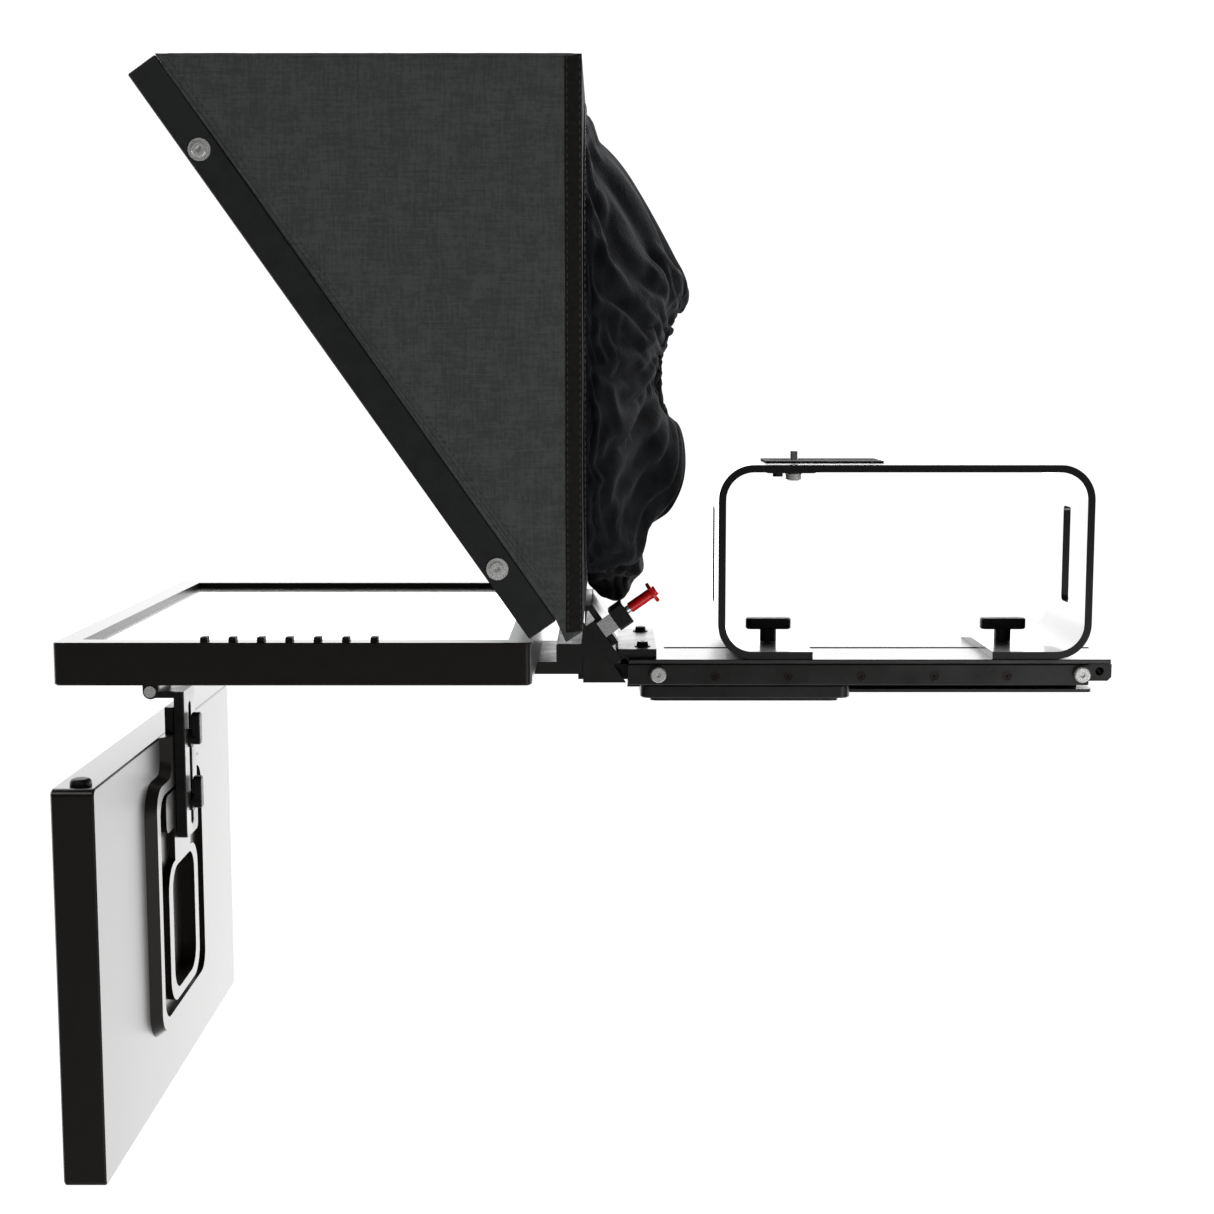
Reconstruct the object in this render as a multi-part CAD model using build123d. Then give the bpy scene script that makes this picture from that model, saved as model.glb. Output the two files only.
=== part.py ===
from build123d import *
import os

# Teleprompter: a hood with a slanted glass, a prompter monitor lying under it, a talent
# monitor hanging in front, and a slotted base with a camera riser on a sliding tripod plate.
# Millimetres. +X points to the camera operator, Y runs across, +Z is up. The origin is the
# middle of the tripod plate's underside.

# ---- Driving dimensions ----
GAP = 0.3                 # running gap between faces of pieces that move past each other
BORE_GAP = 0.05           # radial clearance of a turning or sliding shaft

TRIPOD_LEN, TRIPOD_HALF, TRIPOD_TOP = 164, 50, 13.8
WEB_HALF, WEB_TOP = 38, 6.9
GROOVE_TOP, NECK_HALF = 9.6, 28.2
TRIPOD_HOLE_R, TRIPOD_SIDE_HOLE_R, TRIPOD_SIDE_HOLE_X = 4.76, 3.175, 32

BASE_X = (-91.6, 262.4)   # rails; the end block carries on to BASE_END
BASE_END = 279.8
BASE_HALF = 65
RAIL_Z = (16.5, 33)
RAIL_WIDTH = 12
PLATE_TOP = 36.5
SLOT_HALF, SLOT_START = 4, -62
SPINE_HALF, SPINE_WALL = 28, 4
SCREW_PITCH, FIRST_SCREW_X, SCREW_Z = 56.1, -24.9, 24
THUMB_X, THUMB_Z = (-68.2, 256.8), 25
CROSS_HOLE = (270.6, 27.4, 3.25)      # X, Z, radius of the hole across the end block

SLOPE = 55                # glass and bracket angle from the horizontal
SLOPE_FOOT = (-114.5, 0, 62.8)        # a point on the bracket's sloping face
SLOPE_PLATE = 8
GUSSET_Y = (56, 61)
GUSSET_X = -126
PLUNGER_Y, PLUNGER_T = -50, 4.4       # place of the plunger across and down the slope

RISER_X = (-22.6, 264.0)
RISER_TOP, RISER_WALL, RISER_HALF, RISER_R = 185.5, 5.7, 63.5, 27
RISER_FLANGE_GAP = (50.4, 188.4)
RISER_SLOT_Z, RISER_SLOT_HALF, RISER_SLOT_R = (74, 150), 12, 4
KNOB_X = (21.4, 209.0)
STUD_R = 3.0
CAMERA_SCREW_X, CAMERA_STUD_R = 40.5, 3.175
CAMERA_SLOT_X = (22, 220)

GLASS_TOP = (-424.6, 0, 449.6)        # upper front edge of the glass frame
GLASS_LEN, GLASS_DEPTH, FRAME_RAIL = 460, 22.5, 18
GROOVE_N = (10.5, 14)                 # the groove that holds the glass, from the frame's front face
HOOD_HALF, BOARD = 216, 4
HOOD_TOP, HOOD_REAR = 463.3, -124.2
REAR_BOTTOM = 78
LENS_Z, LENS_OPENING_R = 261, 45

PROMPTER_X, PROMPTER_HALF, PROMPTER_Z = (-491.6, -159.6), 205, (38.9, 68.9)
PROMPTER_SPLIT, PROMPTER_BORDER, PROMPTER_WALL = 60, 17, 3
BUTTON_FIRST_X, BUTTON_PITCH, BUTTON_Y, BUTTON_COUNT = -387.1, 19.68, -197, 7
BUTTON_SIZE, BUTTON_TRAVEL = (5, 8), 1.2
VESA, VESA_HOLE_R = 100, 2.2

TALENT_X, TALENT_HALF, TALENT_Z = (-489.6, -459.6), 227, (-314.8, -29.8)
TALENT_SPLIT, TALENT_BORDER = -483, 17
TALENT_BUTTON = (-472.3, -212)        # X, Y of the power button in the top edge
PAD_DEPTH = 7.6                       # the raised pad on the back, with a neck up to the top edge
PAD_FOOT = (92, (-262, -58), 26, 38)            # half width, Z range, corner radius, half neck
PAD_EDGE = (82, (-257, -63), 18, 31)
BAY_HALF, BAY_Z, BAY_DEPTH = 72, (-249, -71), 5.6
ISLAND_HALF, ISLAND_Z = 51, (-244, -131)
RECESS_HALF, RECESS_Z, RECESS_DEPTH = 38, (-236, -136), 12
HINGE_X, HINGE_Z, HINGE_R = -469.3, 4.5, 3
ARM_X, ARM_HALF, ARM_Z = (-451.6, -443.6), 20, (-115.5, 4)
ARM_SLOT_Z, ARM_SLOT_HALF = (-107, -7), 4
SLIDE_HALF, SLIDE_Z = 18, (-112, -9)
LEVER_Z = (-36.9, -88.9)

os.makedirs("parts", exist_ok=True)


def save(name, shape):
    shape = shape.solid() if len(shape.solids()) == 1 else Compound(children=list(shape.solids()))
    export_step(shape, f"parts/{name}.step")


def block(x, y, z):
    """A box between the low and high values of each axis."""
    middle = [(low + high) / 2 for low, high in (x, y, z)]
    return Pos(*middle) * Box(x[1] - x[0], y[1] - y[0], z[1] - z[0])


def rounded(x, y, z, radius, axis, edge=0):
    """A box with its four edges along one axis rounded, and the rims eased."""
    shape = block(x, y, z)
    shape = fillet(shape.edges().filter_by(axis), radius)
    if edge:
        rims = [e for e in shape.edges() if abs(e.bounding_box().size.dot(axis.direction)) < 1e-6]
        shape = chamfer(rims, edge)
    return shape


def profile(points, y):
    """A flat plate: an outline of (X, Z) points, between two values of Y."""
    side = Plane(origin=(0, y[1], 0), x_dir=(1, 0, 0), z_dir=(0, -1, 0))
    return extrude(side * make_face(Polyline(*points, close=True)), y[1] - y[0])


def rod(start, direction, length, radius):
    """A round bar from a point along a direction."""
    return Plane(origin=start, z_dir=direction) * Cylinder(
        radius, length, align=(Align.CENTER, Align.CENTER, Align.MIN))


def cross_rod(x, z, y, radius):
    return rod((x, y[0], z), (0, 1, 0), y[1] - y[0], radius)


def both_sides(shape):
    return shape + mirror(shape, about=Plane.XZ)


def sloped(origin):
    """Local X runs down the slope, local Y across, local Z out of its face, up and to the rear."""
    down = Vector(1, 0, 0).rotate(Axis.Y, SLOPE)
    return Plane(origin=origin, x_dir=down, z_dir=down.cross(Vector(0, 1, 0)))


glass_plane = sloped(GLASS_TOP)
bracket_plane = sloped(SLOPE_FOOT)


# ---- Tripod plate and balance plate ----
def tripod_plate():
    half = TRIPOD_LEN / 2
    plate = rounded((-half, half), (-TRIPOD_HALF, TRIPOD_HALF), (4, TRIPOD_TOP), 8, Axis.Z, 0.8)
    plate += rounded((8 - half, half - 8), (-WEB_HALF, WEB_HALF), (0, 5), 6, Axis.Z)
    through = (-half - 1, half + 1)
    plate -= block(through, (-40.1, 40.1), (WEB_TOP, GROOVE_TOP))
    plate -= block(through, (-NECK_HALF, NECK_HALF), (WEB_TOP, TRIPOD_TOP + 1))
    plate -= rod((0, 0, -1), (0, 0, 1), 10, TRIPOD_HOLE_R)
    for x in (-TRIPOD_SIDE_HOLE_X, TRIPOD_SIDE_HOLE_X):
        plate -= rod((x, 0, -1), (0, 0, 1), 10, TRIPOD_SIDE_HOLE_R)
    return plate


save("tripod_plate", tripod_plate())
save("balance_plate", rounded((-80, 272), (-40, 40), (7.0, 9.5), 5, Axis.Z))


# ---- Base: two rails, a spine, a slotted top plate and an end block ----
def screw_places():
    return [FIRST_SCREW_X + SCREW_PITCH * i for i in range(5)]


def near_rail():
    rail = block(BASE_X, (-BASE_HALF, RAIL_WIDTH - BASE_HALF), RAIL_Z)
    rail = chamfer(rail.edges().filter_by(Axis.X).group_by(Axis.Y)[0], 1)
    for x in screw_places():
        rail -= cross_rod(x, SCREW_Z, (-BASE_HALF, -50), 2.6)
        rail -= cross_rod(x, SCREW_Z, (-BASE_HALF, 2 - BASE_HALF), 3.6)
    return rail


def thumb_holes(rail):
    for x in THUMB_X:
        rail -= cross_rod(x, THUMB_Z, (-BASE_HALF - 1, -50), STUD_R + BORE_GAP)
    return rail


save("base_rail_near", thumb_holes(near_rail()))
save("base_rail_far", mirror(near_rail(), about=Plane.XZ))

spine = block(BASE_X, (-SPINE_HALF, SPINE_HALF), (9.5, RAIL_Z[1]))
inner = SPINE_HALF - SPINE_WALL
spine -= block((BASE_X[0] - 1, BASE_X[1] + 1), (-inner, inner), (13.5, RAIL_Z[1] + 1))
save("base_spine", spine)

top_plate = rounded((BASE_X[0], BASE_END), (-BASE_HALF, BASE_HALF), (RAIL_Z[1], PLATE_TOP), 2, Axis.Z, 0.6)
top_plate -= block((SLOT_START, BASE_END + 1), (-SLOT_HALF, SLOT_HALF), (RAIL_Z[1] - 1, PLATE_TOP + 1))
save("base_top_plate", top_plate)

end_block = block((BASE_X[1], BASE_END), (-BASE_HALF, BASE_HALF), (20, RAIL_Z[1]))
end_block = chamfer(end_block.edges().filter_by(Axis.Y).group_by(Axis.X)[-1].group_by(Axis.Z)[0], 3)
end_block -= block((BASE_X[1] - 1, BASE_END + 1), (-12, 12), (25.5, RAIL_Z[1] + 1))
end_block -= cross_rod(CROSS_HOLE[0], CROSS_HOLE[1], (-BASE_HALF - 1, BASE_HALF + 1), CROSS_HOLE[2])
save("base_end_block", end_block)


def rail_screw(x):
    screw = cross_rod(x, SCREW_Z, (0.6 - BASE_HALF, 2 - BASE_HALF), 3.5)
    screw += cross_rod(x, SCREW_Z, (1 - BASE_HALF, -54), 2.5)
    return screw - cross_rod(x, SCREW_Z, (-BASE_HALF, 1.6 - BASE_HALF), 1.5)


near_screws = Compound(children=[rail_screw(x).solid() for x in screw_places()])
far_screws = mirror(near_screws, about=Plane.XZ)
save("base_screws", Compound(children=list(near_screws.solids()) + list(far_screws.solids())))


def thumb_screw(x):
    face = -BASE_HALF - GAP
    head = cross_rod(x, THUMB_Z, (face - 4, face), 6)
    head = chamfer(head.edges().group_by(Axis.Y)[0], 0.8)
    head -= cross_rod(x, THUMB_Z, (face - 5, face - 2.4), 2)
    return head + cross_rod(x, THUMB_Z, (face, -50.6), STUD_R)


for end, x in zip(("front", "rear"), THUMB_X):
    save(f"thumb_screw_{end}", thumb_screw(x))


# ---- Front bracket: two gussets under a sloping plate with a foot on the base ----
for side, sign in (("near", -1), ("far", 1)):
    ys = sorted((sign * GUSSET_Y[0], sign * GUSSET_Y[1]))
    save(f"bracket_gusset_{side}", profile([(GUSSET_X, 18), (-93.2, 18), (GUSSET_X, 65)], ys))


def slope_plate():
    plate = bracket_plane * block((-5, 32), (-BASE_HALF, BASE_HALF), (-SLOPE_PLATE, 0))
    plate += block((-99, -69.5), (-60, 60), (PLATE_TOP, 44))
    plate += block((-97, BASE_X[0]), (-SPINE_HALF, SPINE_HALF), (20, PLATE_TOP + 1))
    for y in (-45, 45):
        plate -= rod((-80, y, PLATE_TOP), (0, 0, 1), 9, 3)
    return plate


save("bracket_slope_plate", slope_plate())


# ---- Spring plunger that locks the hood's tongue ----
axis_point = bracket_plane.location.position + bracket_plane.x_dir * PLUNGER_T + Vector(0, PLUNGER_Y, 0)
out = bracket_plane.z_dir


def on_axis(height):
    return axis_point + out * height


def axis_rod(low, high, radius):
    return rod(on_axis(low), out, high - low, radius)


PLUNGER_BLOCK = (12.2, 24.4)
SPRING_ROOM = (12.9, 23.0)
KNOB_FACE = 46.7
t_range = (PLUNGER_T - 9.1, PLUNGER_T + 9.1)
housing = bracket_plane * rounded(t_range, (-BASE_HALF, -40), PLUNGER_BLOCK, 1.5, Axis.Z, 0.5)
housing -= axis_rod(PLUNGER_BLOCK[0] - 1, PLUNGER_BLOCK[1] + 1, STUD_R + BORE_GAP)
housing -= axis_rod(*SPRING_ROOM, 5.2)
save("plunger_housing", housing)
save("plunger_post", bracket_plane * block((-2, 11), (-BASE_HALF, -61.5), (0, PLUNGER_BLOCK[0])))
stem = axis_rod(0.5, 48, STUD_R) + axis_rod(13.0, 13.8, 4.6)
save("plunger_stem", stem)
knob = axis_rod(27, KNOB_FACE, 4.2) + axis_rod(KNOB_FACE, KNOB_FACE + 3, 8.5) + axis_rod(KNOB_FACE, 51.5, 3.8)
knob = fillet(knob.edges().filter_by(GeomType.CIRCLE).filter_by(lambda e: abs(e.radius - 8.5) < 0.01), 0.9)
save("plunger_knob", knob - axis_rod(20, 48, STUD_R))
coil = Plane(origin=on_axis(14.6), z_dir=out) * Helix(pitch=1.9, height=7.6, radius=4.1)
spring = sweep(Plane(origin=coil @ 0, z_dir=coil % 0) * Circle(0.45), path=coil)
save("plunger_spring", spring)


# ---- Camera riser: a bent flat bar on the base, its two knobs and the camera screw ----
def riser():
    low = PLATE_TOP + 0.1
    outer = rounded(RISER_X, (-RISER_HALF, RISER_HALF), (low, RISER_TOP), RISER_R, Axis.Y)
    wall = RISER_WALL
    inside = rounded((RISER_X[0] + wall, RISER_X[1] - wall), (-70, 70), (low + wall, RISER_TOP - wall),
                     RISER_R - wall, Axis.Y)
    bar = outer - inside - block(RISER_FLANGE_GAP, (-70, 70), (low - 1, low + wall + 1))
    slot = block((RISER_X[0] - 1, RISER_X[1] + 1), (-RISER_SLOT_HALF, RISER_SLOT_HALF), RISER_SLOT_Z)
    bar -= fillet(slot.edges().filter_by(Axis.X), RISER_SLOT_R)
    bar -= block(CAMERA_SLOT_X, (-3.4, 3.4), (RISER_TOP - 10, RISER_TOP + 1))
    for x in KNOB_X:
        bar -= rod((x, 0, low - 1), (0, 0, 1), wall + 2, STUD_R + BORE_GAP)
    return bar


def riser_knob(x):
    seat = PLATE_TOP + 0.1 + RISER_WALL + GAP
    hub = rod((x, 0, seat), (0, 0, 1), 10, 6.5)
    bar = rounded((x - 18, x + 18), (-6, 6), (seat + 9.5, seat + 18.3), 5, Axis.Z, 1)
    return hub + bar + rod((x, 0, 26), (0, 0, 1), seat - 25, STUD_R)


save("riser", riser())
nuts = [block((x - 10, x + 10), (-10, 10), (28.8, 32.8)) - rod((x, 0, 28), (0, 0, 1), 6, STUD_R + BORE_GAP)
        for x in KNOB_X]
save("riser_slot_nuts", Compound(children=[n.solid() for n in nuts]))
for end, x in zip(("front", "rear"), KNOB_X):
    save(f"riser_knob_{end}", riser_knob(x))

pad = rounded((16, 108), (-30, 30), (RISER_TOP, RISER_TOP + 1.5), 4, Axis.Z)
save("camera_pad", pad - block(CAMERA_SLOT_X, (-3.6, 3.6), (RISER_TOP - 1, RISER_TOP + 3)))

under = RISER_TOP - RISER_WALL - 0.1
washer = rounded((18.3, 57.1), (-12, 12), (under - 3, under), 3, Axis.Z, 0.4)
washer += rod((27.8, 0, under - 6), (0, 0, 1), 4, 4)
save("camera_screw_washer", washer - rod((CAMERA_SCREW_X, 0, under - 4), (0, 0, 1), 6, STUD_R + BORE_GAP))
screw_head = rod((CAMERA_SCREW_X, 0, under - 9), (0, 0, 1), 5.8, 7)
screw_head = chamfer(screw_head.edges().filter_by(GeomType.CIRCLE), 0.7)
screw = screw_head + rod((CAMERA_SCREW_X, 0, under - 4), (0, 0, 1), RISER_TOP + 1.5 - under + 4, STUD_R)
screw += rod((CAMERA_SCREW_X, 0, RISER_TOP + 1.5), (0, 0, 1), 7, CAMERA_STUD_R)
save("camera_screw", screw)


# ---- Hood: glass frame, glass, covered boards, lens shroud and the tongue that carries it ----
FRAME_SCREW_T, FRAME_SCREW_N = (66.5, 408), 10.1


def glass_frame():
    inner_y = HOOD_HALF - FRAME_RAIL - 2
    frame = block((0, GLASS_LEN), (-HOOD_HALF, HOOD_HALF), (0, GLASS_DEPTH))
    frame = chamfer(frame.edges(), 0.8)
    frame -= block((FRAME_RAIL, GLASS_LEN - FRAME_RAIL), (-inner_y, inner_y), (-1, GLASS_DEPTH + 1))
    frame -= block((8, GLASS_LEN - 8), (8 - HOOD_HALF, HOOD_HALF - 8), GROOVE_N)
    for t in FRAME_SCREW_T:
        for y in (-HOOD_HALF - 1, HOOD_HALF - 7):
            frame -= cross_rod(t, FRAME_SCREW_N, (y, y + 8), 2.6)
    return glass_plane * frame


def frame_screw(t):
    """One flanged screw on the near side, from its flange into the rail."""
    face = -HOOD_HALF
    screw = cross_rod(t, FRAME_SCREW_N, (face - 1.2, face), 7.5)
    screw += cross_rod(t, FRAME_SCREW_N, (face - 3.2, face), 5)
    screw = chamfer(screw.edges().filter_by(GeomType.CIRCLE).group_by(Axis.Y)[0], 0.6)
    screw -= cross_rod(t, FRAME_SCREW_N, (face - 4, face - 0.8), 2.2)
    return screw + cross_rod(t, FRAME_SCREW_N, (face, face + 6.5), 2.5)


save("glass_frame", glass_frame())
pane = block((8.2, GLASS_LEN - 8.2), (8.2 - HOOD_HALF, HOOD_HALF - 8.2), (GROOVE_N[0] + 0.1, GROOVE_N[1] - 0.1))
save("beamsplitter_glass", glass_plane * pane)
near_side = [glass_plane * frame_screw(t) for t in FRAME_SCREW_T]
far_side = [mirror(s, about=Plane.XZ) for s in near_side]
save("frame_screws", Compound(children=[s.solid() for s in near_side + far_side]))

# The side board follows the rear face of the glass frame, the top edge and the rear edge.
band_top = glass_plane.location.position + glass_plane.z_dir * (GLASS_DEPTH + 0.2)
band_end = band_top + glass_plane.x_dir * GLASS_LEN
rise = HOOD_TOP - band_top.Z
side_outline = [
    (band_top.X + rise * glass_plane.x_dir.X / glass_plane.x_dir.Z, HOOD_TOP), (HOOD_REAR, HOOD_TOP), (HOOD_REAR, REAR_BOTTOM), (-135.7, 70.6), (band_end.X, band_end.Z)]
near_board = profile(side_outline, (-HOOD_HALF, BOARD - HOOD_HALF))
save("hood_side_near", near_board)
save("hood_side_far", mirror(near_board, about=Plane.XZ))

inner = HOOD_HALF - BOARD
save("hood_top", block((-402.5, HOOD_REAR), (-inner, inner), (HOOD_TOP - BOARD, HOOD_TOP)))
rear = block((HOOD_REAR - BOARD, HOOD_REAR), (-inner, inner), (REAR_BOTTOM, HOOD_TOP - BOARD))
rear -= rounded((HOOD_REAR - 10, HOOD_REAR + 10), (-150, 150), (125, 430), 85, Axis.X)
save("hood_rear", rear)


def shroud_body(sections):
    rings = [Plane(origin=(x, 0, (low + high) / 2), x_dir=(0, 1, 0), z_dir=(1, 0, 0))
             * RectangleRounded(2 * half, high - low, radius) for x, half, low, high, radius in sections]
    return loft(rings, ruled=True)


SHROUD = ((HOOD_REAR + 0.1, 165, 110, 456, 30), (-92, 142, 106, 414, 40),
          (-66, 112, 118, 366, 45), (-44, 80, 165, 325, 40))
SHROUD_WALL = 4
inside = [(x - (SHROUD_WALL if x > HOOD_REAR + 1 else 1), half - SHROUD_WALL, low + SHROUD_WALL,
           high - SHROUD_WALL, radius - SHROUD_WALL) for x, half, low, high, radius in SHROUD]
shroud = shroud_body(SHROUD) - shroud_body(inside)
shroud -= rod((-80, 0, LENS_Z), (1, 0, 0), 60, LENS_OPENING_R)
hem = rounded((-121, -79), (-20, 90), (80, 105.5), 10, Axis.Y)
save("lens_shroud", Compound(children=[shroud.solid(), hem.solid()]))


def hood_tongue():
    bar = glass_plane * block((GLASS_LEN, GLASS_LEN + 6), (-60, 60), (4.5, 20.5))
    floor = block((-148, -119), (-60, 60), (73.5, 77.5))
    tongue = bracket_plane * block((-15, 20), (-60, 60), (GAP, 5 + GAP))
    tongue -= bracket_plane * block((PLUNGER_T - 3.3, 21), (PLUNGER_Y - 3.3, PLUNGER_Y + 3.3), (-1, 7))
    tongue -= axis_rod(-1, 7, 3.3)
    return bar + floor + tongue


save("hood_tongue", hood_tongue())


# ---- Prompter monitor, lying under the glass on its arm ----
FRONT_X, REAR_X = PROMPTER_X
CENTRE_X = (FRONT_X + REAR_X) / 2


def inset(margin):
    """X and Y ranges of the prompter monitor's outline, drawn in by a margin."""
    return (FRONT_X + margin, REAR_X - margin), (margin - PROMPTER_HALF, PROMPTER_HALF - margin)


def prompter_back():
    x, y = inset(0)
    shell = rounded(x, y, (PROMPTER_Z[0], PROMPTER_SPLIT), 5, Axis.Z)
    shell = chamfer(shell.edges().group_by(Axis.Z)[0], 1)
    x, y = inset(PROMPTER_WALL)
    shell -= block(x, y, (PROMPTER_Z[0] + 2.5, PROMPTER_SPLIT + 1))
    for i in range(8):
        cut = CENTRE_X - 70 + 20 * i
        shell -= block((cut, cut + 4), (90, 150), (PROMPTER_Z[0] - 1, PROMPTER_Z[0] + 4))
    for dx in (-VESA / 2, VESA / 2):
        for y in (-VESA / 2, VESA / 2):
            shell -= rod((CENTRE_X + dx, y, PROMPTER_Z[0] - 1), (0, 0, 1), 5, VESA_HOLE_R)
    return shell


def button_places():
    return [BUTTON_FIRST_X + BUTTON_PITCH * i for i in range(BUTTON_COUNT)]


def button_block(x, margin, z):
    half_x, half_y = BUTTON_SIZE[0] / 2 + margin, BUTTON_SIZE[1] / 2 + margin
    return block((x - half_x, x + half_x), (BUTTON_Y - half_y, BUTTON_Y + half_y), z)


def prompter_bezel():
    bottom, top = PROMPTER_SPLIT, PROMPTER_Z[1]
    ring = rounded(*inset(0), (bottom, top), 5, Axis.Z)
    ring = chamfer(ring.edges().group_by(Axis.Z)[-1], 0.8)
    ring -= block(*inset(PROMPTER_BORDER), (bottom - 1, top + 1))
    ring -= block(*inset(PROMPTER_BORDER - 4), (bottom - 1, top - 4.5))
    for x in button_places():
        ring -= button_block(x, 0.25, (bottom - 1, top + 1))
    return ring


def button(x):
    top = PROMPTER_Z[1] + 3.5
    cap = button_block(x, 0, (PROMPTER_SPLIT - 1.5, top))
    cap = chamfer(cap.edges().group_by(Axis.Z)[-1], 0.5)
    return cap + button_block(x, 0.8, (PROMPTER_SPLIT - 1.5, PROMPTER_SPLIT - 0.1))


save("prompter_back", prompter_back())
save("prompter_bezel", prompter_bezel())
glass_top = PROMPTER_Z[1] - 4.5
save("prompter_screen", block(*inset(PROMPTER_BORDER - 3.8), (glass_top - 3.2, glass_top)))
save("prompter_lcd_module", block(*inset(18), (50, glass_top - 3.2)))
save("prompter_driver_board", block((-390, -270), (-60, 20), (43.5, 45.1)))
for number, x in enumerate(button_places(), 1):
    save(f"monitor_button_{number}", button(x))

low = PROMPTER_Z[0] - 4.9
vesa = rounded((CENTRE_X - 60, CENTRE_X + 60), (-60, 60), (low, PROMPTER_Z[0]), 6, Axis.Z)
for dx in (-VESA / 2, VESA / 2):
    for y in (-VESA / 2, VESA / 2):
        vesa -= rod((CENTRE_X + dx, y, low - 1), (0, 0, 1), 7, VESA_HOLE_R)
save("prompter_vesa_plate", vesa)


def monitor_arm():
    shoulder = rounded((-146.6, GUSSET_X - GAP), (-60, 60), (low - 9.5, 48), 1.5, Axis.Y)
    bar = block((-390, -140), (-60, 60), (low - 9.5, low)) - block((-386, -150), (-56, 56), (low - 10, low - 4))
    bar += block((-446, -380), (-22, 22), (low - 9.5, low))
    tongue = block((-130, -60), (31, 50), (19, 31)) + block((-130, -120), (31, 50), (19, 30))
    return shoulder + bar + both_sides(tongue)


save("monitor_arm", monitor_arm())


# ---- Talent arm: fold bracket, pin, slotted bar and the slide bar with its two levers ----
EAR_Y, EAR_R = (17.2, 22), 6.2


def fold_bracket():
    plate = block((-478, -450), (-EAR_Y[1], EAR_Y[1]), (low, PROMPTER_Z[0]))
    ear = block((HINGE_X - EAR_R, HINGE_X + EAR_R), EAR_Y, (HINGE_Z, low + 1))
    ear += cross_rod(HINGE_X, HINGE_Z, EAR_Y, EAR_R)
    plate += both_sides(ear)
    return plate - cross_rod(HINGE_X, HINGE_Z, (-25, 25), HINGE_R + BORE_GAP)


def talent_arm_bar():
    bar = block(ARM_X, (-ARM_HALF, ARM_HALF), ARM_Z)
    bar = fillet(bar.edges().filter_by(Axis.X).group_by(Axis.Z)[0], 6)
    slot = block((ARM_X[0] - 1, ARM_X[1] + 1), (-ARM_SLOT_HALF, ARM_SLOT_HALF), ARM_SLOT_Z)
    bar -= fillet(slot.edges().filter_by(Axis.X), ARM_SLOT_HALF - 0.05)
    barrel = (0.2 - EAR_Y[0], EAR_Y[0] - 0.2)
    bar += block((HINGE_X, ARM_X[1]), barrel, (HINGE_Z - 6, ARM_Z[1]))
    bar += cross_rod(HINGE_X, HINGE_Z, barrel, 6)
    bar = chamfer(bar.edges().filter_by(Axis.Z).group_by(Axis.X)[-1], 0.8)
    return bar - cross_rod(HINGE_X, HINGE_Z, (-25, 25), HINGE_R)


save("talent_fold_bracket", fold_bracket())
save("talent_arm_bar", talent_arm_bar())
pin = cross_rod(HINGE_X, HINGE_Z, (-22.5, 22.5), HINGE_R)
save("talent_hinge_pin", pin + both_sides(cross_rod(HINGE_X, HINGE_Z, (22.3, 24.5), 4.6)))

BACK_X = TALENT_X[1]


def talent_slide_bar():
    bar = block((BACK_X, ARM_X[0] - GAP), (-SLIDE_HALF, SLIDE_HALF), SLIDE_Z)
    bar = chamfer(bar.edges().filter_by(Axis.Z).group_by(Axis.X)[-1], 0.8)
    for z in LEVER_Z:
        bar -= rod((BACK_X + 0.5, 0, z), (1, 0, 0), 10, STUD_R + BORE_GAP)
    return bar


def clamp_lever(z):
    seat = ARM_X[1] + GAP
    lever = rod((BACK_X + 1, 0, z), (1, 0, 0), seat + 7 - BACK_X - 1, STUD_R)
    lever += rod((seat, 0, z), (1, 0, 0), 6, 5)
    lever += rod((seat, 0, z), (1, 0, 0), 1.4, 7.5)
    handle = rounded((seat + 1.6, seat + 8.4), (-4.5, 4.5), (z - 5, z + 21), 3, Axis.X, 0.8)
    return lever + handle


save("talent_slide_bar", talent_slide_bar())
for place, z in zip(("upper", "lower"), LEVER_Z):
    save(f"clamp_lever_{place}", clamp_lever(z))


# ---- Talent monitor, upright in front with its screen towards -X ----
BOTTOM, TOP = TALENT_Z


def upright(margin):
    """Y and Z ranges of the talent monitor's outline, drawn in by a margin."""
    return (margin - TALENT_HALF, TALENT_HALF - margin), (BOTTOM + margin, TOP - margin)


def pad_outline(half, z_range, radius, neck, x):
    """A rounded rectangle with a neck that runs up past the monitor's top edge."""
    body = RectangleRounded(2 * half, z_range[1] - z_range[0], radius)
    body = Pos(0, (z_range[0] + z_range[1]) / 2) * body
    throat = Pos(0, (z_range[1] + TOP) / 2) * Rectangle(2 * neck, TOP - z_range[1] + 20)
    outline = (body + throat).face()
    inner = outline.vertices().filter_by(lambda v: abs(abs(v.X) - neck) < 0.01 and abs(v.Y - z_range[1]) < 0.01)
    return Plane(origin=(x, 0, 0), x_dir=(0, 1, 0), z_dir=(1, 0, 0)) * fillet(inner, 12)


def back_block(half, z_range, x_range, radius):
    return rounded(x_range, (-half, half), z_range, radius, Axis.X)


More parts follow.
